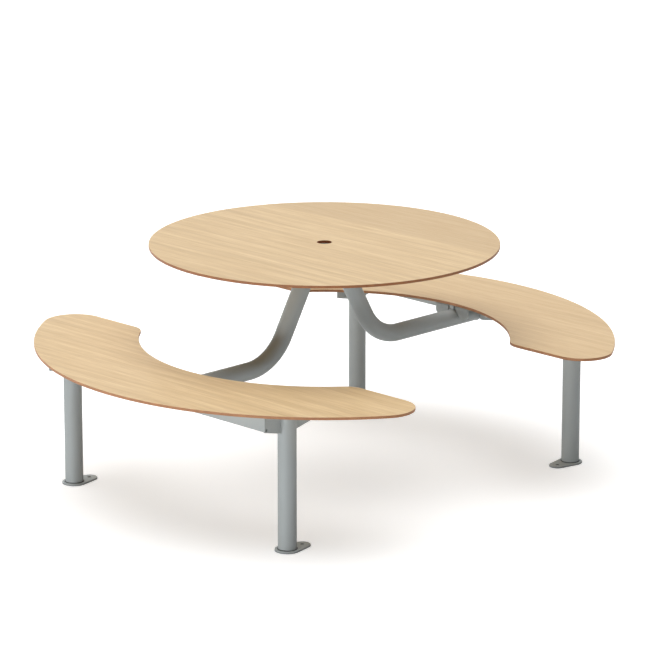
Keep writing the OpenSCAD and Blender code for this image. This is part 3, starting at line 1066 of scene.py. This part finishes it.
def makeScrews(nodeName, tree):
    # upright screws: the flange seats where the head meets the steel
    places = []
    for low, high in islandBoxes(nodeName):
        middle = (low + high) / 2
        seat = low.z + boardScrew["head"]
        places.append((Vector((middle.x, middle.y, seat)), alongZ))
    piece = scatterFasteners(nodeName, "", boltMesh("screw", boardScrew), places, tree)
    finishPiece(piece, "zinc_steel", nodeName)


def makeBoltsAndNuts(nodeName, along, tree):
    # along is the axis that the shanks lie on: 1 across the table, away from its middle, 2 up
    bolts, nuts = [], []
    for low, high in islandBoxes(nodeName):
        start = (low + high) / 2
        sign = 1 if along == 2 or start.y > 0 else -1
        axis = Vector((0, 0, 0))
        axis[along] = sign
        start[along] = low[along] if sign > 0 else high[along]
        # a bolt with its head is longer than the shank, and a nut is shorter
        if high[along] - low[along] > frameBolt["length"]:
            bolts.append((start + axis * frameBolt["head"], axis))
        else:
            nuts.append((start, axis))
    piece = scatterFasteners(nodeName, "", boltMesh("bolt", frameBolt), bolts, tree)
    finishPiece(piece, "zinc_steel", nodeName)
    piece = scatterFasteners(nodeName, "Nuts", nutMesh("nut", frameBolt), nuts, tree)
    finishPiece(piece, "zinc_steel")


fastenerSet = buildScatter()
makeScrews("top_board_screws", fastenerSet)
makeScrews("seat_screws_front", fastenerSet)
makeScrews("seat_screws_back", fastenerSet)
makeBoltsAndNuts("seat_rail_bolts", 1, fastenerSet)
makeBoltsAndNuts("head_plate_bolts", 2, fastenerSet)
print("fasteners made")


# weld beads: lines where steel meets steel, swept with the ripple of a hand weld
weldBead = {
    "footBead": 0.0022,
    "bracketBead": 0.0015,
    "footStandOff": 0.3,        # how far a bead's middle stands off its joint, in beads
    "bracketStandOff": 0.35,
    "railTopGap": 1.5,          # where a rail's bead ends, in beads from the rail's edges
    "railOuterGap": 2.0,
    "legEndGap": 2.0,           # in stand-offs
    "webThickness": 0.006,
    "ripple": 0.0034,
    "rippleDepth": 0.16,
    "unevenScale": 90.0,
    "swell": (0.9, 1.08),
    "seed": 2.0,
    "step": 0.0011,
    "sides": 10,
    "armSteps": 64,
    "footSteps": 96,
}


def buildWeld(look):
    tree, given, made = geometryTree("weldBead", {
        "Step": "Float", "Ripple": "Float", "Depth": "Float", "Sides": "Int",
        "Seed": "Float",
    })
    fine = fedNode(tree, "GeometryNodeResampleCurve", {
        "Curve": given["Geometry"], "Length": given["Step"],
    }, mode="LENGTH")
    along = addNode(tree, "GeometryNodeSplineParameter").outputs["Length"]
    uneven = fedNode(tree, "ShaderNodeTexNoise", {
        "Vector": addNode(tree, "GeometryNodeInputPosition").outputs[0],
        "W": given["Seed"], "Scale": look["unevenScale"],
    }, noise_dimensions="4D")
    phase = calc(tree, "ADD", calc(tree, "DIVIDE", along, given["Ripple"]), uneven)
    tooth = calc(tree, "MULTIPLY", calc(tree, "FRACT", phase), given["Depth"])
    width = calc(tree, "MULTIPLY", calc(tree, "SUBTRACT", 1.0, tooth),
                 remap(tree, uneven, noiseLow, noiseHigh, *look["swell"]))
    # taken twice, so that the ripple stands out
    bead = addNode(tree, "GeometryNodeInputRadius").outputs[0]
    size = calc(tree, "MULTIPLY", width, calc(tree, "MULTIPLY", width, bead))
    endTree(tree, given, made, sweepRound(tree, given, fine, 1.0, size))
    return tree


def circlePath(middle, radius, first, second, steps):
    # first and second are the directions of the circle's plane
    points = []
    for step in range(steps):
        angle = 2 * math.pi * step / steps
        points.append(middle + first * (radius * math.cos(angle))
                      + second * (radius * math.sin(angle)))
    return points, True


def armWelds(side, look):
    turn, gap = sideTurn[side], look["bracketBead"] * look["bracketStandOff"]
    headLow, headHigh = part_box("arm_head_plate_" + side)
    barLow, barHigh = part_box("bearer_bar_" + side)
    radius, runHeight = armSection(side)
    # arm against the rail
    tubeEnd = Vector((0, turn * reachAcross("seat_rail_" + side)[0] - turn * gap, runHeight))
    # arm under its head plate, where the slanted cut is an ellipse
    headMiddle = Vector((0, (headLow.y + headHigh.y) / 2, headLow.z - gap))
    stretch = 1 / math.sin(math.radians(armTube["rise"]))
    paths = [
        circlePath(tubeEnd, radius + gap, alongX, alongZ, look["armSteps"]),
        circlePath(headMiddle, radius + gap, alongX, alongY * stretch, look["armSteps"]),
    ]
    # bearer bar along the arm's crown
    barHalf = (barHigh.x - barLow.x) / 2
    crown = runHeight + math.sqrt(radius ** 2 - barHalf ** 2)
    for hand in (-1, 1):
        line = Vector((hand * (barHalf + gap), 0, crown + gap / 2))
        paths.append(([line + alongY * barLow.y, line + alongY * barHigh.y], False))
    return paths


def legWelds(side, tail, look):
    turn, bead = sideTurn[side], look["bracketBead"]
    gap = bead * look["bracketStandOff"]
    railLow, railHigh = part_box("seat_rail_" + side)
    railInner, railOuter = [turn * reach for reach in reachAcross("seat_rail_" + side)]
    legLow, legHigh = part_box("leg_" + tail)
    middle, radius = (legLow + legHigh) / 2, (legHigh.x - legLow.x) / 2
    # rail's end against the web, underneath and inside, where it doesn't show
    hand = 1 if middle.x > 0 else -1
    railEnd = hand * max(abs(railLow.x), abs(railHigh.x)) - hand * gap
    low, inner = railLow.z - gap, railInner - turn * gap
    outer = railOuter - turn * bead * look["railOuterGap"]
    top = railHigh.z - bead * look["railTopGap"]
    corners = ((outer, low), (inner, low), (inner, top))
    paths = [([Vector((railEnd, y, z)) for y, z in corners], False)]
    # leg against both faces of its bracket
    endGap = gap * look["legEndGap"]
    bottom = alongZ * (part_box("leg_bracket_" + tail)[0].z + endGap)
    top = alongZ * (legHigh.z - endGap)
    for reach in (-1, 1):
        for face in (-1, 1):
            line = Vector((middle.x + face * (look["webThickness"] / 2 + gap),
                           middle.y + reach * (radius + gap), 0))
            paths.append(([line + bottom, line + top], False))
    return paths


def footWeldPath(tail, look):
    # round the leg, on its foot plate
    low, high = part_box("leg_" + tail)
    gap = look["footBead"] * look["footStandOff"]
    middle = (low + high) / 2
    middle.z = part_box("foot_plate_" + tail)[1].z + gap
    return circlePath(middle, (high.x - low.x) / 2 + gap, alongX, alongY, look["footSteps"])


def makeWelds(look):
    tree = buildWeld(look)
    footPaths, bracketPaths = [], []
    for side in sideTurn:
        bracketPaths += armWelds(side, look)
        for tail in (side + "_left", side + "_right"):
            footPaths.append(footWeldPath(tail, look))
            bracketPaths += legWelds(side, tail, look)
    for name, paths, bead, coat in (
        ("footWelds", footPaths, look["footBead"], footWeld),
        ("bracketWelds", bracketPaths, look["bracketBead"], greyWeld),
    ):
        piece = growPiece(name, curveObject("weldLines", paths, bead), tree, {
            "Step": look["step"],
            "Ripple": look["ripple"],
            "Depth": look["rippleDepth"],
            "Sides": look["sides"],
            "Seed": look["seed"],
        }, coat)
        finishPiece(piece, "grey_steel")


makeWelds(weldBead)
print("welds made")


# floor, world and low strips of light
studio = {
    "lightSide": (-0.50, 0.00, 0.86),
    "lightLevel": 3.42,
    "fadeStart": 0.25,
    "fadeEnd": 0.95,
    "horizon": 0.55,
    "fullHeight": 0.98,
    # power and place of each strip
    "panels": {
        "frontPanel": (74.0, (1.3, -4.8, 0.15)),
        "cornerPanel": (34.0, (-3.0, -3.8, 0.15)),
        "sidePanel": (34.0, (-4.7, 1.5, 0.15)),
    },
    "panelSize": (4.0, 0.25),
    "panelAim": (0.0, 0.0, 0.3),
    "floorColour": (0.76, 0.76, 0.76, 1.0),
    "floorGlow": 0.55,
    "floorSize": 60.0,
}


def seenByCamera(tree):
    # 1 for what the camera sees, also in reflections and through glass
    path = addNode(tree, "ShaderNodeLightPath")
    seen = calc(tree, "MAXIMUM", path.outputs["Is Camera Ray"], path.outputs["Is Glossy Ray"])
    return calc(tree, "MAXIMUM", seen, path.outputs["Is Transmission Ray"])


def makeFloor(look):
    mesh = bmesh.new()
    bmesh.ops.create_grid(mesh, x_segments=1, y_segments=1, size=look["floorSize"])
    material = bpy.data.materials.new("studioFloor")
    material.use_nodes = True
    tree = material.node_tree
    tree.nodes.clear()
    matt = fedNode(tree, "ShaderNodeBsdfDiffuse", {"Color": look["floorColour"]})
    glow = fedNode(tree, "ShaderNodeEmission", {
        "Strength": calc(tree, "MULTIPLY", seenByCamera(tree), look["floorGlow"]),
    })
    both = addNode(tree, "ShaderNodeAddShader")
    feed(tree, both.inputs[0], matt)
    feed(tree, both.inputs[1], glow)
    end = addNode(tree, "ShaderNodeOutputMaterial")
    feed(tree, end.inputs["Surface"], both.outputs[0])
    linkMesh("studioFloor", keepMesh("studioFloor", mesh), material)


def makeWorld(look):
    world = bpy.data.worlds.new("studioWorld")
    bpy.context.scene.world = world
    world.use_nodes = True
    tree = world.node_tree
    tree.nodes.clear()
    # a wide soft light overhead and to one side, fading out towards the horizon
    direction = addNode(tree, "ShaderNodeTexCoord").outputs["Generated"]
    facing = vectorCalc(tree, "DOT_PRODUCT", direction, look["lightSide"])
    side = remap(tree, facing, look["fadeStart"], look["fadeEnd"], smooth=True)
    lift = remap(tree, splitAxes(tree, direction)[2], look["horizon"], look["fullHeight"],
                 smooth=True)
    light = calc(tree, "MULTIPLY", calc(tree, "MULTIPLY", side, lift), look["lightLevel"])
    sky = addNode(tree, "ShaderNodeBackground")
    sky.inputs["Color"].default_value = (1.0, 1.0, 1.0, 1.0)
    feed(tree, sky.inputs["Strength"], remap(tree, seenByCamera(tree), 0.0, 1.0, light, 1.0))
    end = addNode(tree, "ShaderNodeOutputWorld")
    feed(tree, end.inputs["Surface"], sky.outputs[0])


def addPanel(name, look):
    # a low strip of light, which reaches the frame under the boards
    power, place = look["panels"][name]
    data = bpy.data.lights.new(name, "AREA")
    data.shape = "RECTANGLE"
    data.energy = power
    data.size, data.size_y = look["panelSize"]
    lamp = addObject(name, data)
    lamp.location = place
    aim = Vector(look["panelAim"]) - Vector(place)
    lamp.rotation_mode = "QUATERNION"
    lamp.rotation_quaternion = aim.to_track_quat("-Z", "Y")
    lamp.visible_camera = False


makeFloor(studio)
makeWorld(studio)
for name in studio["panels"]:
    addPanel(name, studio)
bpy.context.scene.view_settings.view_transform = "Standard"
print("studio lit")

print("scene finished")
